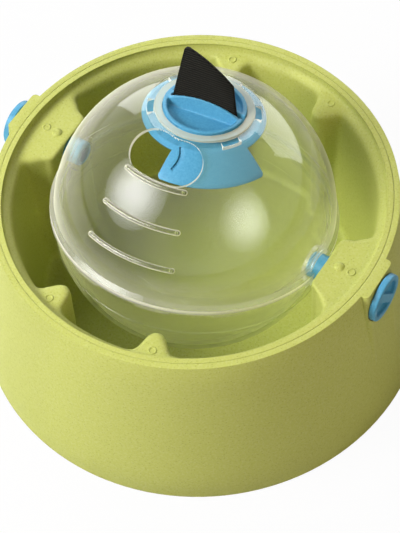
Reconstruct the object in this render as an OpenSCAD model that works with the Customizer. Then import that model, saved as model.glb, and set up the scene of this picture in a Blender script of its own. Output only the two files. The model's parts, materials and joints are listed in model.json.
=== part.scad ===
// Treat ball for dogs. A clear ball in two halves rolls on two quarter-turn pins inside a
// flared tub. A shutter under the dome sets how far the treat opening stands open, and a cap
// with a webbing pull tab plugs the filling hole at the pole.
// Millimetres, +Z up, X along the axle, origin on the floor at the middle of the tub.

/* [Tub] */
// Outer diameter of the rim
rim_d = 230; // [226:1:240]
// How far the base stands outside the rim
flare = 18; // [12:1:24]
// Height of the tub
tub_h = 112; // [110:1:120]
// Wall thickness of the drum
drum_wall = 3; // [2.6:0.1:3.4]
// Width of each axle boss
boss_w = 28; // [26:1:34]
// How far each axle boss stands out of the rim
boss_out = 3.2; // [3:0.2:6]

/* [Tray] */
// Wall thickness of the tray
tray_wall = 2.6; // [2.2:0.1:3]
// Height of the pocket floor
floor_z = 9; // [7:0.5:10]
// Depth of the shoulder under the rim
shoulder_drop = 5.3; // [5.1:0.1:6]
// Angle of each slim post from the Y axis
post_angle = 19; // [17:1:22]
// Radius of a slim post's nose
post_nose_r = 6; // [5:0.5:7]
// Width of the straight face of each broad ledge
ledge_w = 38; // [34:1:42]

/* [Pins] */
// Diameter of the pin shank
pin_d = 15; // [13:0.5:15.5]
// Diameter of the pin head
head_d = 28; // [25:0.5:28.5]
// Thickness of the pin head
head_t = 4; // [3.2:0.1:5]

/* [Ball] */
// Outer diameter of the ball
ball_d = 160; // [150:1:162]
// Wall thickness of the ball
ball_wall = 2.4; // [2:0.1:2.8]
// Width of the treat opening
opening_w = 26; // [22:0.5:28]
// Angle the treat opening spans round the pole
opening_span = 60; // [50:1:66]

/* [Filler] */
// How far the cap stands beyond the webbing at each end
cap_edge = 3.8; // [3.4:0.1:5]
// Width of the webbing
strap_w = 38; // [34:1:40]
// Thickness of the webbing
strap_t = 1.8; // [1.4:0.1:2]
// Height of the webbing above the cap at its tall end
strap_tall = 34; // [26:1:36]
// Height of the webbing above the cap at its short end
strap_short = 18; // [12:1:22]

/* [Hidden] */
$fn = 96;
eps = 0.01;
// Length that passes every piece, and overshoot of a cut
far = 200;
over = 1;
// Clearance of sliding plastic, radial clearance of a pin in the tub and in the ball
fit = 0.3;
pin_fit = 0.05;
hub_fit = 0.08;
// Pose of the ball: its pole leans back, the cap's slot stands off the axle
ball_lean = 12.5;
slot_turn = 8.5;

// Tub
rim_r = rim_d / 2;
base_r = rim_r + flare;
slope = flare / tub_h;
axle_drop = 14.5;
axle_z = tub_h - axle_drop;
lip_h = 5;
seat_z = tub_h - lip_h;
drum_lip_r = rim_r - 3.4;
seat_r = rim_r - 5.6;
seat_t = 3;
boss_foot_z = tub_h * 0.43;
boss_draft = 0.1025;
boss_round = 2.5;
boss_x = rim_r + boss_out;
spot_x = boss_x + 0.4;

// Tray
lip_r = drum_lip_r - 0.2;
tray_r = seat_r - 0.2;
shoulder_z = tub_h - shoulder_drop;
lip_in_r = rim_r - 6;
shoulder_r = rim_r - 7.7;
edge_r = rim_r - 9.5;
edge_h = 3.7;
edge_in = 0.9;
edge_drop = 1.3;
pocket_top_r = rim_r - 12.4;
pocket_foot_r = rim_r - 18;
foot_round = 3;
post_tip_r = rim_r - 26;
post_mid_r = post_tip_r + post_nose_r;
post_flank_angle = 25;
flank_in = 0.2;
flank_lap = 0.3;
ledge_x = ball_d / 2 + 4.5;
ledge_round = 5;
ledge_hollow_r = 10.3;
ledge_hollow_x = ledge_x + 5.5;
ledge_hollow_y = ledge_w / 2 + 14.3;
ledge_side_y = ledge_w / 2 + 26;
hollow_reach = edge_r + 0.7;
post_hollow_r = 8;
mark_h = 0.4;
mark_r = 2.3;
mark_line = 0.7;
post_mark_in = 13.2;
ledge_mark_in = 16;
bump_in = 8.6;
bump_r = 2.6;
bump_h = 1;
bore_run = 5;
tube_end = 3;

// Pins
pin_r = pin_d / 2;
head_r = head_d / 2;
head_x = spot_x + fit;
head_rim = 3.2;
head_floor = 0.9;
head_room = 0.6;
grip_w = 5.5;
grip_sink = 0.4;
grip_turn_angle = -52;
lug_r = axle_drop - lip_h - 0.4;
lug_w = 5;
lug_x = tray_r + 1.2;
lug_t = 2;
lug_room = 0.5;
lug_fit = 0.4;
lug_in = 3;
boss_root = 12;
core_r = 4.5;
core_stop = 5;
tube_r = pin_r + 2.8;
nose_chamfer = 1.2;

// Ball
ball_r = ball_d / 2;
in_r = ball_r - ball_wall;
pole_z = ball_r - 6.5;
plate_z = pole_z - ball_wall;
plate_r = sqrt(ball_r * ball_r - pole_z * pole_z) - 0.2;
hub_r = pin_r + 3;
hub_x = ball_r;
hub_in_x = in_r - 3.1;
pin_end_x = hub_in_x + 0.5;
seam_gap = 0.2;
skirt_t = 1.8;
skirt_drop = 2.2;
skirt_fit = 0.25;
skirt_lap = 0.8;
skirt_edge = 1.5;
skirt_top = 4;
tab_count = 12;
tab_span_angle = 13;
tab_drop = 1.2;
spigot_h = 5;
spigot_t = 2;
spigot_fit = 0.35;
spigot_lap = 0.6;
opening_half = asin(opening_w / 2 / ball_r);
rib_r = 1.6;
rib_from_angle = -107.5;
rib_to_angle = -69;
rib_step_angle = 15.4;
line_tilt_angle = 105;
line_r = 0.8;

// Filler
cap_r = strap_w / 2 + cap_edge;
sleeve_in_r = cap_r + fit;
sleeve_r = sleeve_in_r + 1.8;
hole_r = sleeve_r + fit;
collar_r = hole_r + 2;
collar_z = pole_z + 1.3;
collar_lip = 1.2;
groove_d = 0.6;
groove_z = plate_z + 1.3;
groove_h = 1.2;
bead_fit = 0.2;
window_turns = [-150, -30, 30, 90, 150];
window_span_angle = 21;
window_in_r = collar_r + 0.4;
window_w = 3.6;
opening_edge = 1;
opening_tilt = asin((collar_r + opening_edge) / in_r) + opening_half;
rib_first_angle = opening_tilt + opening_half + 1.5;
shutter_r = in_r - 0.4;
shutter_t = 2;
fan_top_angle = 23.6;
fan_foot_angle = 38.8;
fan_band_angle = 26;
fan_from_angle = -89;
fan_to_angle = -16;
fan_round = 3;
round_lap = 0.15;
hub_top = plate_z - 0.4;
hub_foot = hub_top - 2.3;
hub_ring_r = shutter_r * sin(fan_top_angle);
sleeve_top = collar_z - collar_lip - fit;
seat_in_r = sleeve_in_r - 1.9;
cap_seat = hub_foot + 1.8;
cap_top = collar_z + 1.5;
cap_rim = 2.4;
dish_r = cap_r - cap_rim;
grip_deep = 4;
crown_h = 4.5;
grip_lap = 0.5;
crown_r = (dish_r * dish_r + crown_h * crown_h) / (2 * crown_h);
slot_w = strap_t + 0.8;
slot_l = strap_w + 1;
crest = slot_w / 2 + 0.9;
grip_foot = crest + 2;
notch_w = 3;
notch_deep = 2;
dowel_r = 2;
loop_fit = 0.1;
loop_gap = 0.05;
dowel_l = 2 * seat_in_r - 3;
loop_r = dowel_r + loop_fit + strap_t;
dowel_z = cap_seat - loop_r - loop_gap;
thumb_tilt_angle = 28.7;
thumb_turn_angle = -80.6;
thumb_half_angle = 30;
thumb_r = 12.5;
thumb_w = 3;
thumb_deep = 1.3;
tall_lean = 4.6;
short_lean = 4.2;
tip_round = 2;
crown_bulge = 0.9;

function drum_r(z) = rim_r + slope * (tub_h - z);

// Turns a child so that its Z axis lies along +X at axle height
module along_axle(x) {
    translate([x, 0, axle_z])
        rotate([0, 90, 0])
            children();
}

module both_ends() {
    children();
    rotate([0, 0, 180])
        children();
}

// Frame of the ball: origin at its middle, Z along its pole
module in_ball() {
    translate([0, 0, axle_z])
        rotate([-ball_lean, 0, 0])
            children();
}

// Part of a solid of revolution from one turn to another
module sector(from, to) {
    rotate([0, 0, from])
        rotate_extrude(angle = to - from)
            children();
}

// Section between two cones about the pole, outside a radius
module cone_slice(from, to, near) {
    polygon([[near * sin(from), near * cos(from)], [far * sin(from), far * cos(from)],
        [far * sin(to), far * cos(to)], [near * sin(to), near * cos(to)]]);
}

// Drum
module drum_hollow() {
    under = seat_z - seat_t;
    meet = under - (drum_r(under) - drum_wall - seat_r);
    rotate_extrude()
        polygon([[0, -over], [drum_r(-over) - drum_wall, -over], [drum_r(meet) - drum_wall, meet],
            [seat_r, under], [seat_r, seat_z], [drum_lip_r, seat_z], [drum_lip_r, tub_h + over],
            [0, tub_h + over]]);
}

// Boss: an upright block with two rounded corners, leaning with its draft
module boss() {
    deep = boss_out + boss_root;
    intersection() {
        translate([boss_x, 0, tub_h])
            rotate([0, -atan(boss_draft), 0])
                linear_extrude(height = far, center = true) {
                    translate([-deep, -boss_w / 2])
                        square([deep - boss_round, boss_w]);
                    translate([-deep, boss_round - boss_w / 2])
                        square([deep, boss_w - 2 * boss_round]);
                    for (side = [-1, 1])
                        translate([-boss_round, side * (boss_w / 2 - boss_round)])
                            circle(r = boss_round);
                }
        translate([0, 0, boss_foot_z])
            cylinder(h = tub_h - boss_foot_z, r = far);
    }
}

module outer_drum() {
    color("yellowgreen")
        difference() {
            union() {
                cylinder(h = tub_h, r1 = base_r, r2 = rim_r);
                both_ends()
                    boss();
            }
            drum_hollow();
            both_ends() {
                along_axle(rim_r - boss_root)
                    cylinder(h = far, r = pin_r + pin_fit);
                along_axle(spot_x)
                    cylinder(h = far, r = head_r + head_room);
                along_axle(lug_x - lug_in)
                    cylinder(h = lug_in + lug_t + lug_room, r = lug_r + head_room);
                translate([lug_x, -lug_w / 2 - lug_fit, axle_z - lug_r - lug_fit])
                    cube([far, lug_w + 2 * lug_fit, 2 * (lug_r + lug_fit)]);
            }
        }
}

// Tray
tray_under = [[tray_r, shoulder_z - tray_wall],
    [pocket_top_r + tray_wall, shoulder_z - edge_h - tray_wall],
    [pocket_foot_r + tray_wall, floor_z + foot_round],
    [pocket_foot_r, floor_z - tray_wall], [0, floor_z - tray_wall]];

module tray_shell() {
    rotate_extrude()
        polygon(concat([[0, floor_z], [pocket_foot_r - foot_round, floor_z],
            [pocket_foot_r, floor_z + foot_round], [pocket_top_r, shoulder_z - edge_h],
            [pocket_top_r + edge_in, shoulder_z - edge_drop], [edge_r, shoulder_z],
            [shoulder_r, shoulder_z], [lip_in_r, tub_h], [lip_r, tub_h], [lip_r, seat_z],
            [tray_r, seat_z]], tray_under));
}

// Room the posts and ledges may fill: the tray's outside, filled up to the shoulder
module tray_room() {
    rotate_extrude()
        polygon(concat([[0, shoulder_z], [shoulder_r, shoulder_z], [shoulder_r, shoulder_z - tray_wall]],
            tray_under));
}

// Plan of a slim post, shrunk by a wall; its flanks end in hollow curves
module post_plan(shrink) {
    r = post_nose_r - shrink;
    hollow = post_hollow_r + shrink;
    inset = r - flank_in;
    root = [post_mid_r - inset * sin(post_flank_angle), inset * cos(post_flank_angle)];
    off = r + hollow;
    start = [post_mid_r - off * sin(post_flank_angle), off * cos(post_flank_angle)];
    along = start.x * cos(post_flank_angle) + start.y * sin(post_flank_angle);
    reach = hollow_reach - post_hollow_r;
    run = sqrt(along * along - start.x * start.x - start.y * start.y + reach * reach) - along;
    mid = [start.x + run * cos(post_flank_angle), start.y + run * sin(post_flank_angle)];
    lap = hollow - flank_lap;
    meet = [mid.x + lap * sin(post_flank_angle), mid.y - lap * cos(post_flank_angle)];
    side = mid.y * rim_r / mid.x;
    translate([post_mid_r, 0])
        circle(r = r);
    difference() {
        polygon([[root.x, -root.y], [meet.x, -meet.y], [mid.x, -mid.y], [rim_r, -side],
            [rim_r, side], [mid.x, mid.y], [meet.x, meet.y], [root.x, root.y]]);
        for (s = [-1, 1])
            translate([mid.x, s * mid.y])
                circle(r = hollow);
    }
}

// Plan of a broad ledge, shrunk by a wall; its flanks end in hollow curves
module ledge_plan(shrink) {
    x = ledge_x + shrink;
    y = ledge_w / 2 - shrink;
    r = ledge_hollow_r + shrink;
    meet = [ledge_hollow_x + r * cos(60), ledge_hollow_y - r * sin(60)];
    side = ledge_side_y - shrink;
    difference() {
        union() {
            for (s = [-1, 1])
                translate([x + ledge_round, s * (y - ledge_round)])
                    circle(r = ledge_round);
            polygon([[x, -y + ledge_round], [x + ledge_round, -y], [meet.x, -meet.y],
                [ledge_hollow_x, -ledge_hollow_y], [rim_r, -side], [rim_r, side],
                [ledge_hollow_x, ledge_hollow_y], [meet.x, meet.y],
                [x + ledge_round, y], [x, y - ledge_round]]);
        }
        for (s = [-1, 1])
            translate([ledge_hollow_x, s * ledge_hollow_y])
                circle(r = r);
    }
}

module at_posts() {
    for (turn = [90 - post_angle, 90 + post_angle, 270 - post_angle, 270 + post_angle])
        rotate([0, 0, turn])
            children();
}

// Posts and ledges from under the tray up to a height, shrunk by a wall
module columns(shrink, from, to) {
    at_posts()
        translate([0, 0, from])
            linear_extrude(height = to - from)
                post_plan(shrink);
    both_ends()
        translate([0, 0, from])
            linear_extrude(height = to - from)
                ledge_plan(shrink);
}

// Raised ring mark on the shoulder
module ring_mark(r) {
    translate([r, 0, shoulder_z - mark_h])
        difference() {
            cylinder(h = 2 * mark_h, r = mark_r);
            translate([0, 0, mark_h])
                cylinder(h = 2 * mark_h, r = mark_r - mark_line);
        }
}

// Tube that carries a pin through a hollow ledge
module pin_tube() {
    intersection() {
        along_axle(ledge_x + tray_wall / 2)
            cylinder(h = tray_r - tube_end - ledge_x - tray_wall / 2, r = tube_r);
        cylinder(h = shoulder_z - tray_wall / 2, r = rim_r);
    }
}

module feeding_tray() {
    color("olivedrab")
        difference() {
            union() {
                difference() {
                    union() {
                        tray_shell();
                        intersection() {
                            columns(0, 0, tub_h);
                            tray_room();
                        }
                    }
                    columns(tray_wall, -over, shoulder_z - tray_wall);
                }
                both_ends() {
                    pin_tube();
                    ring_mark(ledge_x + ledge_mark_in);
                    translate([ledge_x + bump_in, 0, shoulder_z + bump_h - bump_r])
                        sphere(r = bump_r);
                }
                at_posts()
                    ring_mark(post_tip_r + post_mark_in);
            }
            both_ends()
                along_axle(ledge_x - bore_run)
                    cylinder(h = far, r = pin_r + pin_fit);
        }
}

// Pins
module axle_pin() {
    color("steelblue")
        difference() {
            union() {
                along_axle(pin_end_x + nose_chamfer)
                    cylinder(h = head_x - pin_end_x, r = pin_r);
                along_axle(pin_end_x)
                    cylinder(h = nose_chamfer, r1 = pin_r - nose_chamfer, r2 = pin_r);
                along_axle(head_x)
                    cylinder(h = head_t, r = head_r);
                intersection() {
                    along_axle(lug_x)
                        cylinder(h = lug_t, r = lug_r);
                    translate([lug_x, 0, axle_z])
                        cube([far, far, lug_w], center = true);
                }
            }
            difference() {
                along_axle(head_x + head_floor)
                    cylinder(h = head_t, r = head_r - head_rim);
                translate([head_x + head_floor, 0, axle_z])
                    rotate([grip_turn_angle, 0, 0])
                        cube([2 * (head_t - head_floor - grip_sink), head_d, grip_w], center = true);
            }
            along_axle(pin_end_x - over)
                cylinder(h = lug_x - core_stop - pin_end_x + over, r = core_r);
        }
}

module axle_pin_right() {
    axle_pin();
}

module axle_pin_left() {
    rotate([0, 0, 180])
        axle_pin();
}

// Ball
module ball_half(side) {
    difference() {
        intersection() {
            sphere(r = ball_r);
            translate([0, 0, side > 0 ? 0 : -ball_d - seam_gap])
                cylinder(h = ball_d, r = ball_d);
        }
        sphere(r = in_r);
    }
}

// Treat opening: a band between two cones with round ends
module treat_opening() {
    end = opening_span / 2 - (opening_w / 2) / (ball_r * sin(opening_tilt)) * 180 / PI;
    near = ball_r * 0.7;
    sector(-90 - end, -90 + end)
        cone_slice(opening_tilt - opening_half, opening_tilt + opening_half, near);
    for (s = [-1, 1])
        rotate([0, opening_tilt, -90 + s * end])
            translate([0, 0, near])
                cylinder(h = ball_r, r = opening_w / 2);
}

// Raised rib along a parallel of the ball
module rib(tilt) {
    sector(rib_from_angle, rib_to_angle)
        translate([ball_r * sin(tilt), ball_r * cos(tilt)])
            circle(r = rib_r);
}

// Skirt of the upper half that hangs over the seam, with tabs
module skirt() {
    skirt_r = ball_r + skirt_fit;
    tab_foot = -skirt_drop - tab_drop;
    notch = 360 / tab_count - tab_span_angle;
    difference() {
        rotate_extrude()
            polygon([[in_r + skirt_lap, eps], [skirt_r, eps], [skirt_r, tab_foot],
                [skirt_r + skirt_t, tab_foot], [skirt_r + skirt_t, skirt_edge],
                [ball_r - skirt_fit, skirt_top], [in_r + skirt_lap, skirt_top]]);
        for (i = [0 : tab_count - 1])
            sector(i * 360 / tab_count - notch / 2, i * 360 / tab_count + notch / 2)
                translate([ball_r - over, tab_foot - over])
                    square([far, tab_drop + over]);
    }
}

// Turns a child so that its Z axis lies along +X in the ball's frame
module along_hub(x) {
    translate([x, 0, 0])
        rotate([0, 90, 0])
            children();
}

module collar() {
    translate([0, 0, plate_z]) {
        cylinder(h = ball_wall, r = plate_r);
        cylinder(h = collar_z - plate_z, r = collar_r);
    }
}

module collar_windows() {
    for (turn = window_turns)
        sector(turn - window_span_angle / 2, turn + window_span_angle / 2)
            translate([window_in_r, plate_z - 2 * ball_wall])
                square([window_w, far]);
}

module ball_upper_shell() {
    color("lightcyan", 0.4)
        in_ball()
            difference() {
                union() {
                    difference() {
                        ball_half(1);
                        translate([0, 0, pole_z])
                            cylinder(h = ball_r, r = ball_r);
                    }
                    collar();
                    for (i = [0 : 2])
                        rib(rib_first_angle + i * rib_step_angle);
                    skirt();
                    both_ends()
                        along_hub(hub_in_x)
                            cylinder(h = hub_x - hub_in_x, r = hub_r);
                }
                collar_windows();
                treat_opening();
                translate([0, 0, plate_z - 2 * ball_wall])
                    cylinder(h = collar_z - collar_lip - plate_z + 2 * ball_wall, r = hole_r);
                translate([0, 0, plate_z])
                    cylinder(h = far, r = sleeve_in_r);
                translate([0, 0, groove_z])
                    cylinder(h = groove_h, r = hole_r + groove_d);
                both_ends()
                    along_hub(hub_in_x - bore_run)
                        cylinder(h = far, r = pin_r + hub_fit);
            }
}

module ball_lower_shell() {
    spigot_r = in_r - spigot_fit;
    color("lightblue", 0.4)
        in_ball()
            difference() {
                union() {
                    ball_half(-1);
                    rotate_extrude()
                        polygon([[spigot_r - spigot_t, -spigot_h], [in_r + spigot_lap, -spigot_h],
                            [in_r + spigot_lap, -seam_gap], [spigot_r, -seam_gap],
                            [spigot_r, spigot_h], [spigot_r - spigot_t, spigot_h]]);
                    rotate_extrude()
                        translate([ball_r * sin(line_tilt_angle), ball_r * cos(line_tilt_angle)])
                            circle(r = line_r);
                }
                both_ends()
                    along_hub(hub_in_x - bore_run)
                        cylinder(h = far, r = hub_r + fit);
            }
}

// Shutter
module shutter_plate(from, to, top, foot) {
    intersection() {
        difference() {
            sphere(r = shutter_r);
            sphere(r = shutter_r - shutter_t);
        }
        sector(from, to)
            cone_slice(top, foot, ball_r * 0.7);
    }
}

// What lies outside the round at a corner of the fan
module fan_corner(turn, side) {
    mid = round_lap - fan_round;
    rotate([0, fan_foot_angle, turn])
        mirror([0, side < 0 ? 1 : 0, 0])
            translate([0, 0, ball_r * 0.7])
                linear_extrude(height = far)
                    difference() {
                        translate([mid, mid])
                            square(2 * fan_round);
                        translate([mid, mid])
                            circle(r = fan_round);
                    }
}

// Crescent nail notch: a steep wall along an arc, and a floor that rises from its foot
module thumb_notch() {
    rotate([0, thumb_tilt_angle, thumb_turn_angle])
        translate([0, -thumb_r, shutter_r])
            sector(90 - thumb_half_angle, 90 + thumb_half_angle)
                polygon([[thumb_r, -thumb_deep], [thumb_r + thumb_w, 0], [thumb_r + thumb_w, over],
                    [thumb_r, over]]);
}

module shutter() {
    color("deepskyblue")
        in_ball()
            difference() {
                union() {
                    shutter_plate(fan_from_angle, fan_to_angle, fan_top_angle, fan_foot_angle);
                    shutter_plate(0, 360, fan_top_angle, fan_band_angle);
                    translate([0, 0, hub_foot])
                        cylinder(h = hub_top - hub_foot, r = hub_ring_r);
                    translate([0, 0, hub_foot])
                        cylinder(h = sleeve_top - hub_foot, r = sleeve_r);
                    translate([0, 0, groove_z + bead_fit])
                        cylinder(h = groove_h - 2 * bead_fit, r = hole_r + groove_d - fit);
                }
                translate([0, 0, hub_foot - over])
                    cylinder(h = far, r = seat_in_r);
                translate([0, 0, cap_seat])
                    cylinder(h = far, r = sleeve_in_r);
                thumb_notch();
                fan_corner(fan_from_angle, -1);
                fan_corner(fan_to_angle, 1);
            }
}

// Cap and pull tab
module in_cap() {
    in_ball()
        rotate([0, 0, slot_turn])
            children();
}

// Grip bar across the cap's dish: slanted faces and an arched crown
module grip() {
    floor = cap_top - grip_deep;
    top = cap_top + crown_h;
    intersection() {
        rotate([90, 0, 90])
            linear_extrude(height = 2 * cap_r, center = true)
                polygon([[-grip_foot, floor - over], [grip_foot, floor - over], [grip_foot, floor],
                    [crest, top], [-crest, top], [-grip_foot, floor]]);
        translate([0, 0, top - crown_r])
            rotate([90, 0, 0])
                cylinder(h = 2 * cap_r, r = crown_r, center = true);
        cylinder(h = far, r = dish_r + grip_lap);
    }
}

module filler_cap() {
    color("dodgerblue")
        in_cap()
            difference() {
                union() {
                    difference() {
                        translate([0, 0, cap_seat])
                            cylinder(h = cap_top - cap_seat, r = cap_r);
                        translate([0, 0, cap_top - grip_deep])
                            cylinder(h = far, r = dish_r);
                    }
                    grip();
                }
                cube([slot_l, slot_w, far], center = true);
                translate([slot_l / 2, -notch_w / 2, cap_top - notch_deep])
                    cube([far, notch_w, far]);
            }
}

// Webbing: stands in the cap's slot, cut aslant at the top, sewn into a loop under the cap
module pull_strap() {
    half = strap_w / 2;
    tall = cap_top + strap_tall;
    short = cap_top + strap_short;
    tip = tall_lean - half;
    crown = (tall + short) / 2 + crown_bulge;
    color("dimgray")
        in_cap()
            difference() {
                union() {
                    rotate([90, 0, 0])
                        linear_extrude(height = strap_t, center = true)
                            polygon([[-half, dowel_z], [half, dowel_z], [half, cap_top],
                                [half - short_lean, short], [0, crown], [tip + tip_round, tall],
                                [tip, tall - tip_round / 2], [-half, cap_top]]);
                    along_hub(-half)
                        lowered()
                            cylinder(h = strap_w, r = loop_r);
                }
                along_hub(-half - over)
                    lowered()
                        cylinder(h = strap_w + 2 * over, r = dowel_r + loop_fit);
            }
}

// Dowel through the loop that keeps the webbing from pulling out of the slot
module strap_anchor() {
    color("slategray")
        in_cap()
            along_hub(-dowel_l / 2)
                lowered()
                    cylinder(h = dowel_l, r = dowel_r);
}

// Shifts a child laid along X to the dowel's height
module lowered() {
    translate([-dowel_z, 0, 0])
        children();
}

outer_drum();
feeding_tray();
axle_pin_left();
axle_pin_right();
ball_upper_shell();
ball_lower_shell();
shutter();
filler_cap();
pull_strap();
strap_anchor();
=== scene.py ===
import json
import math

import bmesh
import bpy
import numpy as np
from mathutils import Matrix, Vector


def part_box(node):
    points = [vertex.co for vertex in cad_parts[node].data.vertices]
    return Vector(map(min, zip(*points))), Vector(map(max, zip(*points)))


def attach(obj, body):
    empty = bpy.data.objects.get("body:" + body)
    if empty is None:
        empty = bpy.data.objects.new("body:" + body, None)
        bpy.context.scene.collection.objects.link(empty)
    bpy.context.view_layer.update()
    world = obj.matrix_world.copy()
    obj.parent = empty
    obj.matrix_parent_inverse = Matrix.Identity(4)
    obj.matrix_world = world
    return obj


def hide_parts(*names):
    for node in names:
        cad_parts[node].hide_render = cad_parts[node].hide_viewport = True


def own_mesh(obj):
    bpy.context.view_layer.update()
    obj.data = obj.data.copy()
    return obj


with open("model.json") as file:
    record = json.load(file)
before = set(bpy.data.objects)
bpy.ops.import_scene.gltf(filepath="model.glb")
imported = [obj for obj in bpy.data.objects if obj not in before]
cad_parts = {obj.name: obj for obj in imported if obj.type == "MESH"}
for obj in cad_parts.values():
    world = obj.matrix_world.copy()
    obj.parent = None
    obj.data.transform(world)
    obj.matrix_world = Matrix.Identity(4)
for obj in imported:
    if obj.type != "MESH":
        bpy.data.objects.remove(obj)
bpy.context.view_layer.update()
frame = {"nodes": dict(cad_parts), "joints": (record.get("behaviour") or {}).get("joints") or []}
nodes = frame["nodes"]
joints = {joint["name"]: joint for joint in frame["joints"]}
scene = bpy.context.scene

# Outer drum: the flared wall of the tub, with a boss at each end of the axle. Injection moulded in one
# from a lime plastic filled with plant fibre. It stands on its wide base, and the tray hangs in its rim.


def srgb(code):
    """Linear colour of an sRGB hex code."""
    parts = [int(code[i:i + 2], 16) / 255 for i in (1, 3, 5)]
    return tuple(c / 12.92 if c <= 0.04045 else ((c + 0.055) / 1.055) ** 2.4 for c in parts) + (1.0,)


def add(tree, kind, inputs=None, links=None, **settings):
    """Adds a node to a tree, sets its properties and inputs, and links outputs into it."""
    node = tree.nodes.new(kind)
    for key, value in settings.items():
        setattr(node, key, value)
    for key, value in (inputs or {}).items():
        node.inputs[key].default_value = value
    for key, output in (links or {}).items():
        tree.links.new(output, node.inputs[key])
    return node


def material(name):
    """A new material, its empty node tree and its output node."""
    made = bpy.data.materials.new(name)
    made.use_nodes = True
    made.node_tree.nodes.clear()
    return made, made.node_tree, made.node_tree.nodes.new("ShaderNodeOutputMaterial")


# Plastic filled with plant fibre, from a matt mould: satin lime with dark flecks and a paler grain.
# Real fibres are finer than the render shows, so flecks and grain are drawn coarser, at these sizes.
fleck_spacing, grain_size = 0.00179, 0.00122
lime, pale_grain, dark_fibre = srgb("#a9b05b"), srgb("#bec488"), srgb("#6c6f22")
# The sockets of a Mix node set to colours: its factor, its two colours and its result.
mix_factor, mix_first, mix_second, mix_result = 0, 6, 7, 2
composite, tree, out = material("lime_fibre_composite")
place = add(tree, "ShaderNodeTexCoord").outputs["Object"]
fleck = add(tree, "ShaderNodeTexVoronoi", {"Scale": 1 / fleck_spacing, "Randomness": 1.0}, {"Vector": place})
fleck_mask = add(tree, "ShaderNodeMapRange",
                 {"From Min": 0.10, "From Max": 0.30, "To Min": 0.34, "To Max": 0.0},
                 {"Value": fleck.outputs["Distance"]})
grain = add(tree, "ShaderNodeTexNoise", {"Scale": 1 / grain_size, "Detail": 2.0}, {"Vector": place})
grain_mask = add(tree, "ShaderNodeMapRange",
                 {"From Min": 0.42, "From Max": 0.72, "To Min": 0.0, "To Max": 0.3},
                 {"Value": grain.outputs["Fac"]})
grained = add(tree, "ShaderNodeMix", {mix_first: lime, mix_second: pale_grain},
              {mix_factor: grain_mask.outputs["Result"]}, data_type="RGBA")
flecked = add(tree, "ShaderNodeMix", {mix_second: dark_fibre},
              {mix_factor: fleck_mask.outputs["Result"], mix_first: grained.outputs[mix_result]},
              data_type="RGBA")
bump = add(tree, "ShaderNodeBump", {"Strength": 0.15, "Distance": 0.0004}, {"Height": grain.outputs["Fac"]})
skin = add(tree, "ShaderNodeBsdfPrincipled", {"Roughness": 0.5, "IOR": 1.5, "Specular IOR Level": 0.16},
           {"Base Color": flecked.outputs[mix_result], "Normal": bump.outputs["Normal"]})
tree.links.new(skin.outputs[0], out.inputs["Surface"])

weld_distance = 1e-6
sharp_angle = math.radians(35)
drum_round, drum_round_steps = 0.00025, 3


def cad_copy(name, node):
    """A copy of a CAD node's mesh with its corners merged, as a new object."""
    mesh = nodes[node].data.copy()
    mesh.materials.clear()
    bm = bmesh.new()
    bm.from_mesh(mesh)
    bmesh.ops.remove_doubles(bm, verts=bm.verts, dist=weld_distance)
    bm.to_mesh(mesh)
    bm.free()
    obj = bpy.data.objects.new(name, mesh)
    scene.collection.objects.link(obj)
    return obj


def applied(obj):
    """Turns the object's modifiers into plain mesh, shaded smooth."""
    graph = bpy.context.evaluated_depsgraph_get()
    mesh = bpy.data.meshes.new_from_object(obj.evaluated_get(graph))
    obj.modifiers.clear()
    obj.data = mesh
    mesh.shade_smooth()
    return obj


def rounded(obj, radius, steps):
    """Rounds an object's sharp edges and turns it into plain mesh."""
    edge = obj.modifiers.new("round", "BEVEL")
    edge.width = radius
    edge.segments = steps
    edge.limit_method = "ANGLE"
    edge.angle_limit = sharp_angle
    edge.harden_normals = True
    return applied(obj)


drum = cad_copy("drum", "outer_drum")
drum.data.materials.append(composite)
rounded(drum, drum_round, drum_round_steps)
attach(drum, "tub")
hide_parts("outer_drum")

# Feeding tray: inner bowl of the same composite, with slim posts and broad ledges between its pockets.
# One moulding that hangs by its lip in the drum; its posts and pocket edges are rounded softly.
tray_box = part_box("feeding_tray")
lip_radius, lip_top = tray_box[1][0], tray_box[1][2]
tray_voxel, tray_rounds, tray_kept = 0.0012, 16, 0.5
# Smoothing is weaker on the lip and on the ledges' edges that face the ball.
lip_band, lip_softness = 0.0045, 0.12
ledge_inner, ledge_outer, ledge_half_width, ledge_softness = 0.080, 0.090, 0.021, 0.15
# The smoothed lip is drawn in and lowered a little, to lie inside the crisp edge of the next section.
lip_drawn_in, lip_lowered = 0.0011, 0.0003


def moulded(name, node, voxel, rounds, softness=None):
    """A CAD node's mesh with its edges rounded as a mould rounds them: voxel skin, then smoothing."""
    obj = cad_copy(name, node)
    voxels = obj.modifiers.new("skin", "REMESH")
    voxels.mode = "VOXEL"
    voxels.voxel_size = voxel
    applied(obj)
    mesh = obj.data
    place = np.empty(len(mesh.vertices) * 3)
    mesh.vertices.foreach_get("co", place)
    place = place.reshape(-1, 3)
    ends = np.empty(len(mesh.edges) * 2, dtype=np.int64)
    mesh.edges.foreach_get("vertices", ends)
    a, b = ends.reshape(-1, 2).T
    neighbours = np.bincount(np.r_[a, b], minlength=len(place))[:, None]
    # Each round takes a vertex half way to the middle of its neighbours, or less where it is less soft.
    half_way = 0.5
    pull = half_way if softness is None else half_way * softness(place)[:, None]
    for _ in range(rounds):
        total = np.stack([np.bincount(a, place[b, k], len(place)) + np.bincount(b, place[a, k], len(place))
                          for k in range(3)], axis=1)
        place = place + pull * (total / neighbours - place)
    mesh.vertices.foreach_set("co", place.ravel())
    mesh.update()
    return obj


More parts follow.
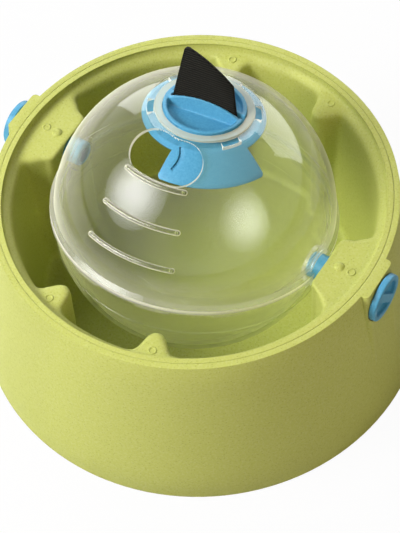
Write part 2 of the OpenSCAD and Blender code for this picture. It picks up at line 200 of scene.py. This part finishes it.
def tray_softness(place):
    """Full smoothing on posts and pocket edges, little on the lip and on the ledges' inner edges."""
    radius = np.hypot(place[:, 0], place[:, 1])
    along_axle = np.abs(place[:, 0])
    at_ledge = (along_axle > ledge_inner) & (along_axle < ledge_outer)
    at_ledge &= np.abs(place[:, 1]) < ledge_half_width
    return np.where(radius > lip_radius - lip_band, lip_softness, np.where(at_ledge, ledge_softness, 1.0))


tray = moulded("tray", "feeding_tray", tray_voxel, tray_rounds, tray_softness)
for vertex in tray.data.vertices:
    radius = math.hypot(vertex.co.x, vertex.co.y)
    if radius > lip_radius - lip_drawn_in:
        vertex.co.x *= (lip_radius - lip_drawn_in) / radius
        vertex.co.y *= (lip_radius - lip_drawn_in) / radius
        vertex.co.z = min(vertex.co.z, lip_top - lip_lowered)
tray.data.materials.append(composite)
thin = tray.modifiers.new("thin", "DECIMATE")
thin.ratio = tray_kept
applied(tray)
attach(tray, "tub")
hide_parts("feeding_tray")

# Tray lip: the crisp outer edge of the tray's lip, a ring 3 mm wide with its corner rounded 0.25 mm.
# Part of the tray's moulding; the thin dark line round the tub lies between it and the drum.
lip_width, lip_depth, lip_round, lip_steps = 0.0030, 0.0016, 0.00025, 288
# Its inner edge dips into the tray, and its top stands a hair above the lip's, so that the two don't mix.
lip_inner_dip, lip_proud = 0.0002, 0.00004
lip_sharp_angle = math.radians(40)
lip_inner = lip_radius - lip_width
profile = [(lip_inner, lip_top - lip_inner_dip)]
for turn in (90, 60, 30, 0):
    profile.append((lip_radius + lip_round * (math.cos(math.radians(turn)) - 1),
                    lip_top + lip_round * (math.sin(math.radians(turn)) - 1) + lip_proud))
profile += [(lip_radius, lip_top - lip_depth), (lip_inner, lip_top - lip_depth)]
lip_places, lip_faces = [], []
for k in range(lip_steps):
    turn = 2 * math.pi * k / lip_steps
    lip_places += [(r * math.cos(turn), r * math.sin(turn), z) for r, z in profile]
    here = k * len(profile)
    following = (k + 1) % lip_steps * len(profile)
    for i in range(len(profile)):
        after = (i + 1) % len(profile)
        lip_faces.append((here + i, here + after, following + after, following + i))
lip_mesh = bpy.data.meshes.new("tray_lip")
lip_mesh.from_pydata(lip_places, [], lip_faces)
lip_mesh.materials.append(composite)
lip_mesh.shade_smooth()
lip_mesh.set_sharp_from_angle(angle=lip_sharp_angle)
bm = bmesh.new()
bm.from_mesh(lip_mesh)
bmesh.ops.recalc_face_normals(bm, faces=bm.faces)
bm.to_mesh(lip_mesh)
bm.free()
lip = bpy.data.objects.new("tray_lip", lip_mesh)
scene.collection.objects.link(lip)
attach(lip, "tub")

# Tray marks: six raised ring marks from the mould's pins and two round bumps, one on each ledge.
# Part of the tray's moulding, 0.6 mm and 1.7 mm proud of its shoulder.
shoulder_drop = 0.0053
mark_radius, mark_line = 0.0020, 0.0006
bump_radius, bump_sunk = 0.0036, 0.0019
# How far from the tub's middle they lie, and how far round from front and back, in degrees.
ledge_mark_out, ledge_bump_out, post_mark_out, post_mark_turn = 0.1005, 0.0931, 0.1022, 19
shoulder = lip_top - shoulder_drop
mark_places = [(end * ledge_mark_out, 0.0, shoulder) for end in (-1, 1)]
for middle_turn in (90, 270):
    for hand in (-1, 1):
        turn = math.radians(middle_turn + hand * post_mark_turn)
        mark_places.append((post_mark_out * math.cos(turn), post_mark_out * math.sin(turn), shoulder))
bump_places = [(end * ledge_bump_out, 0.0, shoulder - bump_sunk) for end in (-1, 1)]


def repeated(name, spots, finish, radius, line=0.0):
    """Balls on points, or rings where a line's radius is given: a Geometry Nodes tree made plain mesh."""
    mesh = bpy.data.meshes.new(name)
    mesh.from_pydata(spots, [], [])
    obj = bpy.data.objects.new(name, mesh)
    scene.collection.objects.link(obj)
    group = bpy.data.node_groups.new(name, "GeometryNodeTree")
    group.interface.new_socket("Points", in_out="INPUT", socket_type="NodeSocketGeometry")
    radius_socket = group.interface.new_socket("Radius", in_out="INPUT", socket_type="NodeSocketFloat")
    line_socket = group.interface.new_socket("Line", in_out="INPUT", socket_type="NodeSocketFloat")
    group.interface.new_socket("Shape", in_out="OUTPUT", socket_type="NodeSocketGeometry")
    given = add(group, "NodeGroupInput")
    if line:
        path = add(group, "GeometryNodeCurvePrimitiveCircle", {"Resolution": 32},
                   {"Radius": given.outputs["Radius"]})
        section = add(group, "GeometryNodeCurvePrimitiveCircle", {"Resolution": 10},
                      {"Radius": given.outputs["Line"]})
        unit = add(group, "GeometryNodeCurveToMesh", links={0: path.outputs[0], 1: section.outputs[0]})
    else:
        unit = add(group, "GeometryNodeMeshUVSphere", {"Segments": 32, "Rings": 16},
                   {"Radius": given.outputs["Radius"]})
    copies = add(group, "GeometryNodeInstanceOnPoints",
                 links={"Points": given.outputs["Points"], "Instance": unit.outputs[0]})
    real = add(group, "GeometryNodeRealizeInstances", links={0: copies.outputs[0]})
    dressed = add(group, "GeometryNodeSetMaterial", {"Material": finish}, {"Geometry": real.outputs[0]})
    add(group, "NodeGroupOutput", links={0: dressed.outputs[0]})
    maker = obj.modifiers.new(name, "NODES")
    maker.node_group = group
    maker[radius_socket.identifier] = radius
    maker[line_socket.identifier] = line
    return applied(obj)


ring_marks = repeated("ring_marks", mark_places, composite, mark_radius, mark_line)
ledge_bumps = repeated("ledge_bumps", bump_places, composite, bump_radius)
for marks in (ring_marks, ledge_bumps):
    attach(marks, "tub")

# Axle pins: blue plastic, moulded, one at each end, with a dished head and a grip bar across it.
# Pushed through boss and ledge into the ball's hubs and locked by a quarter turn.
pin_voxel, pin_rounds = 0.0005, 3

# Moulded plastic with a satin face: an even blue with a soft, faint grain and a dull gloss.
# The grain is drawn coarser than the real one, at this size, so that it shows.
blue_grain_size = 0.00111
deep_blue, pale_blue = srgb("#3880a7"), srgb("#579ebf")
blue, tree, out = material("blue_satin_plastic")
place = add(tree, "ShaderNodeTexCoord").outputs["Object"]
grain = add(tree, "ShaderNodeTexNoise", {"Scale": 1 / blue_grain_size, "Detail": 2.0}, {"Vector": place})
grained = add(tree, "ShaderNodeMix", {mix_first: deep_blue, mix_second: pale_blue},
              {mix_factor: grain.outputs["Fac"]}, data_type="RGBA")
skin = add(tree, "ShaderNodeBsdfPrincipled", {"Roughness": 0.42, "IOR": 1.45, "Specular IOR Level": 0.3},
           {"Base Color": grained.outputs[mix_result]})
tree.links.new(skin.outputs[0], out.inputs["Surface"])

for side in ("left", "right"):
    pin = moulded(f"pin_{side}", f"axle_pin_{side}", pin_voxel, pin_rounds)
    pin.data.materials.append(blue)
    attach(pin, f"pin_{side}")
    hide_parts(f"axle_pin_{side}")

# Ball halves: clear polished plastic 2.4 mm thick, the upper one with collar, opening, ribs and skirt.
# Two mouldings that meet at a spigot under the skirt and turn on the pins in two hubs.
middle = Vector(joints["ball_roll"]["pos_m"])
pole = Vector(joints["shutter_turn"]["axis"]).normalized()
ball_radius, ball_wall = 0.080, 0.0024
# Where each finish starts or ends: along the axle, round the axle, along the pole and round the pole.
hub_start, hub_radius, hub_bore = 0.070, 0.013, 0.0085
skirt_foot, skirt_top, skirt_radius, skirt_shoulder = -0.0051, 0.0045, 0.0815, 0.079
# Up to this height the outside faces near the seam take a stronger painted reflection.
seam_paint_top = 0.019
collar_foot, collar_radius = 0.0718, 0.0275
# Slack for faces within the wall and for the ribs' rise, and how squarely a face looks outwards.
wall_slack, rib_rise = 0.0003, 0.0001
upright_wall, faces_out, faces_square = 0.3, 0.2, 0.8


def clear_plastic(name, colour, rough, gloss_facing, painted_reflection_facing, painted_reflection_aslant, power, tint="#fbfcf8",
                  both_sides=False, fade=None):
    """Transparent plastic with a gloss, and a painted reflection: a pale lit layer that grows where the near
    side is seen aslant.

    A fade gives two heights along the pole and the share of the facing painted reflection that is left at the
    first.
    """
    gloss_power, gloss_aslant, lit_from_behind = 3.5, 0.6, 0.25
    made, tree, out = material(name)
    facing = add(tree, "ShaderNodeLayerWeight", {"Blend": 0.5}).outputs["Facing"]
    camera_ray = add(tree, "ShaderNodeLightPath").outputs["Is Camera Ray"]
    hidden = add(tree, "ShaderNodeNewGeometry").outputs["Backfacing"]
    shown = add(tree, "ShaderNodeMath", {1: 0.0 if both_sides else -1.0, 2: 1.0}, {0: hidden},
                operation="MULTIPLY_ADD")
    seen = add(tree, "ShaderNodeMath", links={0: shown.outputs[0], 1: camera_ray}, operation="MULTIPLY")
    gloss_slant = add(tree, "ShaderNodeMath", {1: gloss_power}, {0: facing}, operation="POWER")
    gloss_part = add(tree, "ShaderNodeMath", {1: gloss_aslant, 2: gloss_facing},
                     {0: gloss_slant.outputs[0]}, operation="MULTIPLY_ADD")
    gloss_seen = add(tree, "ShaderNodeMath", links={0: gloss_part.outputs[0], 1: seen.outputs[0]},
                     operation="MULTIPLY")
    painted_reflection_slant = add(tree, "ShaderNodeMath", {1: power}, {0: facing}, operation="POWER")
    painted_reflection_share = add(tree, "ShaderNodeMath", {1: painted_reflection_aslant, 2: painted_reflection_facing}, {0: painted_reflection_slant.outputs[0]},
                    operation="MULTIPLY_ADD")
    if fade:
        fade_from, fade_to, least_share = fade
        place = add(tree, "ShaderNodeTexCoord").outputs["Object"]
        offset = add(tree, "ShaderNodeVectorMath", {1: tuple(middle)}, {0: place}, operation="SUBTRACT")
        height = add(tree, "ShaderNodeVectorMath", {1: tuple(pole)}, {0: offset.outputs["Vector"]},
                     operation="DOT_PRODUCT")
        faded = add(tree, "ShaderNodeMapRange",
                    {"From Min": fade_from, "From Max": fade_to,
                     "To Min": least_share * painted_reflection_facing, "To Max": painted_reflection_facing},
                    {"Value": height.outputs["Value"]})
        tree.links.new(faded.outputs["Result"], painted_reflection_share.inputs[2])
    painted_reflection_seen = add(tree, "ShaderNodeMath", links={0: painted_reflection_share.outputs[0], 1: seen.outputs[0]},
                    operation="MULTIPLY", use_clamp=True)
    through = add(tree, "ShaderNodeBsdfTransparent", {"Color": srgb(tint)})
    gloss = add(tree, "ShaderNodeBsdfAnisotropic", {"Color": (1, 1, 1, 1), "Roughness": rough})
    from_front = add(tree, "ShaderNodeBsdfDiffuse", {"Color": srgb(colour)})
    from_behind = add(tree, "ShaderNodeBsdfTranslucent", {"Color": srgb(colour)})
    # Painted reflection: a pale diffuse and translucent layer, lit by the lamps and seen only by the camera,
    # that stands in for the reflections and light caught in the clear wall seen aslant.
    painted_reflection = add(tree, "ShaderNodeMixShader", {0: lit_from_behind},
               {1: from_front.outputs[0], 2: from_behind.outputs[0]})
    glossy = add(tree, "ShaderNodeMixShader",
                 links={0: gloss_seen.outputs[0], 1: through.outputs[0], 2: gloss.outputs[0]})
    with_painted_reflection = add(tree, "ShaderNodeMixShader",
                 links={0: painted_reflection_seen.outputs[0], 1: glossy.outputs[0], 2: painted_reflection.outputs[0]})
    tree.links.new(with_painted_reflection.outputs[0], out.inputs["Surface"])
    return made


# Clear moulded plastic, polished: the eye looks through it without bending, as through a thin shell.
# It has a sharp gloss and a painted reflection, a pale layer that is stronger near the seam and on cut edges,
# skirt and collar, where the wall gathers light and looks pale.
outside = clear_plastic("clear_polished_outside", "#e6e8d6", rough=0.07, gloss_facing=0.04,
                        painted_reflection_facing=0.02, painted_reflection_aslant=0.88, power=3.6)
near_seam = clear_plastic("clear_polished_near_seam", "#e6e8d6", rough=0.07, gloss_facing=0.04,
                          painted_reflection_facing=0.26, painted_reflection_aslant=0.88, power=3.6, fade=(seam_paint_top, skirt_top, 0.077))
inside = clear_plastic("clear_polished_inside", "#d0cfc2", rough=0.18, gloss_facing=0.04,
                       painted_reflection_facing=0.0, painted_reflection_aslant=0.10, power=2.5)
# The lower half's painted reflection is tinted green, for the green of the tray seen in its wall.
lower = clear_plastic("clear_polished_lower_half", "#c0c78c", rough=0.12, gloss_facing=0.03,
                      painted_reflection_facing=0.08, painted_reflection_aslant=0.60, power=2.2)
within = clear_plastic("clear_plastic_within", "#d0d2bc", rough=0.30, gloss_facing=0.0,
                       painted_reflection_facing=0.02, painted_reflection_aslant=0.05, power=2.0)
cut_edge = clear_plastic("clear_plastic_edge", "#f4f3e8", rough=0.30, gloss_facing=0.04,
                         painted_reflection_facing=0.70, painted_reflection_aslant=0.25, power=1.5, tint="#d4dac8", both_sides=True)
seam = clear_plastic("clear_plastic_seam", "#fffef6", rough=0.20, gloss_facing=0.10,
                     painted_reflection_facing=0.62, painted_reflection_aslant=0.10, power=1.5, fade=(-0.0016, 0.0004, 0.25))
hub = clear_plastic("clear_plastic_hub", "#e6e8e0", rough=0.20, gloss_facing=0.06,
                    painted_reflection_facing=0.22, painted_reflection_aslant=0.50, power=1.5)
# The ribs' darker tint is painted shade for the dark core line their round section shows, and their strong
# aslant layer paints the bright lines along their sides.
rib = clear_plastic("clear_plastic_rib", "#fbfae6", rough=0.10, gloss_facing=0.06,
                    painted_reflection_facing=0.0, painted_reflection_aslant=1.4, power=1.2, tint="#d4daa8")
collar = clear_plastic("clear_plastic_collar", "#ece6c8", rough=0.30, gloss_facing=0.04,
                       painted_reflection_facing=0.42, painted_reflection_aslant=0.30, power=1.5)
clear_finishes = [outside, near_seam, inside, lower, within, cut_edge, seam, hub, rib, collar]
for node in ("ball_lower_shell", "ball_upper_shell"):
    mesh = nodes[node].data
    mesh.materials.clear()
    for finish in clear_finishes:
        mesh.materials.append(finish)
    for face in mesh.polygons:
        spot = face.center - middle
        height = spot.dot(pole)
        upright = face.normal.dot(pole)
        outward = spot.normalized().dot(face.normal)
        from_pole = (spot - height * pole).length
        from_axle = math.hypot(spot.y, spot.z)
        in_wall = ball_radius - ball_wall + wall_slack < spot.length < ball_radius - wall_slack
        if abs(spot.x) > hub_start and from_axle < hub_radius:
            kind = hub if from_axle > hub_bore and spot.x > 0 else within
        elif node == "ball_lower_shell":
            kind = lower if height < skirt_foot and not in_wall else within
        elif height > collar_foot and from_pole < collar_radius:
            kind = collar
        elif height < skirt_top:
            if from_pole > skirt_radius and abs(upright) < upright_wall:
                kind = seam
            else:
                kind = near_seam if outward > faces_out and from_pole > skirt_shoulder else within
        elif spot.length > ball_radius + rib_rise:
            kind = rib
        elif in_wall and abs(outward) < faces_square:
            kind = cut_edge
        elif outward > 0:
            kind = near_seam if height < seam_paint_top else outside
        else:
            kind = inside
        face.material_index = clear_finishes.index(kind)

# Rib ends: the three ribs on the dome end in small half rounds of the same clear plastic.
# They are part of the upper half's moulding, placed by angles from the pole and round it.
rib_end_radius = 0.00155
rib_tilts = (41.5, 56.9, 72.3)
rib_turns = (-107.5, -69.0)
side_axis = Vector((1, 0, 0))
front_axis = pole.cross(side_axis)
rib_places = []
for tilt in rib_tilts:
    from_top = math.radians(tilt)
    for turn in rib_turns:
        round_pole = math.radians(turn)
        level = side_axis * math.cos(round_pole) + front_axis * math.sin(round_pole)
        rib_places.append(middle + ball_radius * (math.sin(from_top) * level + math.cos(from_top) * pole))
rib_ends = repeated("rib_ends", rib_places, rib, rib_end_radius)
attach(rib_ends, "ball")

# Shutter: the same blue plastic, a fan and hub ring under the dome that turn about the pole.
# Moulded in one, with a crescent nail notch in the fan.
shutter_round, shutter_round_steps = 0.0002, 2
shutter = cad_copy("shutter", "shutter")
shutter.data.materials.append(blue)
rounded(shutter, shutter_round, shutter_round_steps)
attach(shutter, "shutter")
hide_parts("shutter")

# Filler cap: a plug of the same blue plastic in the shutter's sleeve, dished on both sides of a grip bar.
# Moulded in one, with a slot for the webbing through the bar.
cap_voxel, cap_rounds = 0.0004, 3
cap = moulded("cap", "filler_cap", cap_voxel, cap_rounds)
cap.data.materials.append(blue)
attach(cap, "cap")
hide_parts("filler_cap")

# Pull strap: black ribbed webbing 38 mm wide, cut aslant and heat sealed at the top.
# It stands in the cap's slot, and below the cap its end is sewn into a loop round the dowel.
cap_top = 0.0763
slot_turn = math.radians(8.5)
slot_along = side_axis * math.cos(slot_turn) + front_axis * math.sin(slot_turn)
slot_across = pole.cross(slot_along)
rib_pitch, rib_depth = 0.0014, 0.0003

# Woven synthetic yarn: dull and nearly black, with a painted highlight on each rib's crest and painted shade
# between the ribs.
# A Wave texture turns through 20 radians for each unit of its scale.
wave_radians = 20
# Rib crests carry a painted highlight and the grooves painted shade, banded along the ribs by the Wave
# texture.
rib_crest_painted_highlight, rib_groove_painted_shade = srgb("#20201b"), srgb("#010101")
webbing, tree, out = material("black_ribbed_webbing")
cloth_place = add(tree, "ShaderNodeUVMap", uv_map="cloth")
painted_rib_bands = add(tree, "ShaderNodeTexWave", {"Scale": 2 * math.pi / (wave_radians * rib_pitch)},
           {"Vector": cloth_place.outputs[0]}, bands_direction="Y")
painted_rib_light = add(tree, "ShaderNodeMix", {mix_first: rib_crest_painted_highlight, mix_second: rib_groove_painted_shade},
                  {mix_factor: painted_rib_bands.outputs["Fac"]}, data_type="RGBA")
skin = add(tree, "ShaderNodeBsdfPrincipled", {"Roughness": 0.6, "Specular IOR Level": 0.06},
           {"Base Color": painted_rib_light.outputs[mix_result]})
tree.links.new(skin.outputs[0], out.inputs["Surface"])

# The fin's sizes along the slot (x), through the cloth (y) and up from the cap's top (z).
half_width, half_thick, foot, bow_height, bow = 0.019, 0.0008, -0.0030, 0.034, 0.0010
cut_left, cut_corner = (-0.0146, 0.0326), (-0.0138, 0.0338)
cut_start, cut_end = (-0.0124, 0.0340), (0.0148, 0.0180)
cut_bulge = 0.0018
# Steps across and up, and how many of them at the edges the ribs take to rise.
across, upward, plain_edge = 44, 190, 3
reach = np.linspace(-1, 1, across + 1)
cut_x, cut_z = np.array((cut_left, cut_corner, cut_start, cut_end)).T
top_x = np.interp(reach, (-1, 1), (cut_left[0], cut_end[0]))
along_cut = np.clip((top_x - cut_start[0]) / (cut_end[0] - cut_start[0]), 0, 1)
top_z = np.interp(top_x, cut_x, cut_z) + 4 * cut_bulge * along_cut * (1 - along_cut)
fin_places, fin_uvs = [], []
for side in (-1, 1):
    for k in range(upward + 1):
        share = k / upward
        for i in range(across + 1):
            x = half_width * reach[i] * (1 - share) + top_x[i] * share
            z = foot * (1 - share) + top_z[i] * share
            ribbed = min(i, across - i, upward - k, plain_edge) / plain_edge
            y = side * (half_thick + ribbed * rib_depth * math.cos(2 * math.pi * z / rib_pitch))
            y += bow * (max(z, 0.0) / bow_height) ** 2
            fin_places.append(middle + slot_along * x + slot_across * y + pole * (cap_top + z))
            fin_uvs.append((x, z))
row = across + 1
one_side = (upward + 1) * row
fin_faces = []
for k in range(upward):
    for i in range(across):
        a = k * row + i
        b = one_side + a
        fin_faces.append((a, a + 1, a + row + 1, a + row))
        fin_faces.append((b, b + row, b + row + 1, b + 1))
border = list(range(row))
border += [k * row + across for k in range(1, upward + 1)]
border += [upward * row + i for i in range(across - 1, -1, -1)]
border += [k * row for k in range(upward - 1, 0, -1)]
for a, b in zip(border, border[1:] + border[:1]):
    fin_faces.append((b, a, one_side + a, one_side + b))
fin_mesh = bpy.data.meshes.new("webbing_fin")
fin_mesh.from_pydata(fin_places, [], fin_faces)
cloth = fin_mesh.uv_layers.new(name="cloth")
for corner in fin_mesh.loops:
    cloth.data[corner.index].uv = fin_uvs[corner.vertex_index]
fin_mesh.materials.append(webbing)
fin_mesh.shade_smooth()
fin = bpy.data.objects.new("webbing_fin", fin_mesh)
scene.collection.objects.link(fin)

# The sewn loop below the fin is the CAD strap, cut off at the fin's foot and closed there.
loop = cad_copy("webbing_loop", "pull_strap")
bm = bmesh.new()
bm.from_mesh(loop.data)
bmesh.ops.bisect_plane(bm, geom=bm.verts[:] + bm.edges[:] + bm.faces[:],
                       plane_co=middle + pole * (cap_top + foot), plane_no=pole, clear_outer=True)
bmesh.ops.holes_fill(bm, edges=[edge for edge in bm.edges if edge.is_boundary])
bm.to_mesh(loop.data)
bm.free()
loop.data.materials.append(webbing)
for piece in (fin, loop):
    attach(piece, "cap")
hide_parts("pull_strap")
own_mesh(fin)

# Dowel: a plain plastic rod in the webbing's loop under the cap, which keeps it from pulling out.
# Moulded plastic, dark grey and dull; it lies loose in the loop.
dowel, tree, out = material("dark_grey_plastic")
skin = add(tree, "ShaderNodeBsdfPrincipled", {"Base Color": srgb("#565c60"), "Roughness": 0.5})
tree.links.new(skin.outputs[0], out.inputs["Surface"])
nodes["strap_anchor"].data.materials.clear()
nodes["strap_anchor"].data.materials.append(dowel)

# Floor: a wide sheet of matt white paper under the tub, a hair below its base.
# The camera sees it nearly white, and the small share that is lit keeps a faint shadow of the object.
floor_reach, floor_drop = 4, 0.0005
white_share = 0.96
floor_mesh = bpy.data.meshes.new("floor")
floor_corners = [(x * floor_reach, y * floor_reach, 0) for x, y in ((-1, -1), (1, -1), (1, 1), (-1, 1))]
floor_mesh.from_pydata(floor_corners, [], [(0, 1, 2, 3)])
floor = bpy.data.objects.new("floor", floor_mesh)
floor.location.z = -floor_drop
scene.collection.objects.link(floor)
paper, tree, out = material("white_paper")
ray = add(tree, "ShaderNodeLightPath")
lit = add(tree, "ShaderNodeBsdfDiffuse", {"Color": (0.6, 0.6, 0.6, 1)})
white = add(tree, "ShaderNodeEmission", {"Color": (1, 1, 1, 1), "Strength": 1.0})
share = add(tree, "ShaderNodeMath", {1: white_share}, {0: ray.outputs["Is Camera Ray"]}, operation="MULTIPLY")
surface = add(tree, "ShaderNodeMixShader",
              links={0: share.outputs[0], 1: lit.outputs[0], 2: white.outputs[0]})
tree.links.new(surface.outputs[0], out.inputs["Surface"])
floor_mesh.materials.append(paper)

# World: the plain white studio round the object. The camera, gloss and clear plastic see it white,
# and it gives the object a little even light.
even_light = 0.10
world = bpy.data.worlds.new("studio")
scene.world = world
world.use_nodes = True
tree = world.node_tree
tree.nodes.clear()
ray = add(tree, "ShaderNodeLightPath")
looked_at = add(tree, "ShaderNodeMath",
                links={0: ray.outputs["Is Camera Ray"], 1: ray.outputs["Is Transmission Ray"]},
                operation="MAXIMUM")
shows_white = add(tree, "ShaderNodeMath", links={0: looked_at.outputs[0], 1: ray.outputs["Is Glossy Ray"]},
                  operation="MAXIMUM")
dim = add(tree, "ShaderNodeBackground", {"Color": (1, 1, 1, 1), "Strength": even_light})
bright = add(tree, "ShaderNodeBackground", {"Color": (1, 1, 1, 1), "Strength": 1.0})
studio = add(tree, "ShaderNodeMixShader",
             links={0: shows_white.outputs[0], 1: dim.outputs[0], 2: bright.outputs[0]})
add(tree, "ShaderNodeOutputWorld", links={"Surface": studio.outputs[0]})

# Lamps: a softbox at the camera's left and a panel behind, which only gloss shows, and lamps that gloss
# doesn't show. None is seen by the camera. Angles are in degrees, sizes in metres and power in watts.
neutral, warm, amber = (1, 1, 1), (1.0, 0.96, 0.96), (1.0, 0.82, 0.56)
# The softbox glows fully near its middle and dims to a small share at its edge.
glow_core, glow_edge, glow_least = 0.05, 0.5, 0.15
for name, azimuth, elevation, distance, width, tall, power, colour, in_gloss in (
        ("softbox", -130.5, 41.6, 1.5, 1.5, 1.5, 94.0, neutral, True),
        ("back_panel", 105.0, 12.0, 1.6, 3.6, 1.4, 58.0, neutral, True),
        ("left_key", -130.5, 41.6, 1.5, 0.7, 0.7, 33.4, warm, False),
        ("left_low", -165.0, 20.0, 1.5, 0.9, 0.9, 6.0, warm, False),
        ("right_fill", -20.0, 30.0, 1.6, 1.0, 1.0, 8.8, amber, False),
        ("back_fill", 140.0, 48.0, 1.6, 1.0, 1.0, 12.0, warm, False)):
    lamp = bpy.data.lights.new(name, "AREA")
    lamp.shape = "DISK" if width == tall else "RECTANGLE"
    lamp.size = width
    lamp.size_y = tall
    lamp.energy = power
    lamp.color = colour
    holder = bpy.data.objects.new(name, lamp)
    turn, rise = math.radians(azimuth), math.radians(elevation)
    toward = Vector((math.cos(turn) * math.cos(rise), math.sin(turn) * math.cos(rise), math.sin(rise)))
    holder.location = middle + distance * toward
    holder.rotation_mode = "QUATERNION"
    holder.rotation_quaternion = (-toward).to_track_quat("-Z", "Y")
    holder.visible_camera = False
    holder.visible_glossy = in_gloss
    holder.visible_diffuse = not in_gloss
    scene.collection.objects.link(holder)
    if name == "softbox":
        lamp.use_nodes = True
        tree = lamp.node_tree
        tree.nodes.clear()
        where = add(tree, "ShaderNodeNewGeometry").outputs["Parametric"]
        off = add(tree, "ShaderNodeVectorMath", {1: (0.5, 0.5, 0.0)}, {0: where}, operation="DISTANCE")
        glow = add(tree, "ShaderNodeMapRange",
                   {"From Min": glow_core, "From Max": glow_edge, "To Min": 1.0, "To Max": glow_least},
                   {"Value": off.outputs["Value"]}, interpolation_type="SMOOTHSTEP")
        shine = add(tree, "ShaderNodeEmission", {"Color": (1, 1, 1, 1)}, {"Strength": glow.outputs["Result"]})
        add(tree, "ShaderNodeOutputLight", links={"Surface": shine.outputs[0]})

# Camera: placed by fitting the rim, base and ball outlines in the photo, with the photo's slight tilt.
# It has no shift and no depth of field. Rays may pass more clear walls than Blender's usual eight.
camera_place = Vector((0.3613, -0.51105, 0.9722))
camera_back = Vector((0.3209, -0.4543, 0.8311)).normalized()
level_right = Vector((0.8167, 0.5770, 0.0)).normalized()
level_up = camera_back.cross(level_right)
tilt = math.radians(-4.365)
camera_right = level_right * math.cos(tilt) + level_up * math.sin(tilt)
camera_up = level_up * math.cos(tilt) - level_right * math.sin(tilt)
lens = bpy.data.cameras.new("camera")
lens.sensor_fit = "AUTO"
lens.sensor_width = 36.0
lens.lens = 128.4
camera = bpy.data.objects.new("camera", lens)
camera_axes = Matrix((camera_right, camera_up, camera_back)).transposed()
camera.matrix_world = Matrix.Translation(camera_place) @ camera_axes.to_4x4()
scene.collection.objects.link(camera)
scene.camera = camera
scene.view_settings.view_transform = "Standard"
scene.cycles.transparent_max_bounces = 32
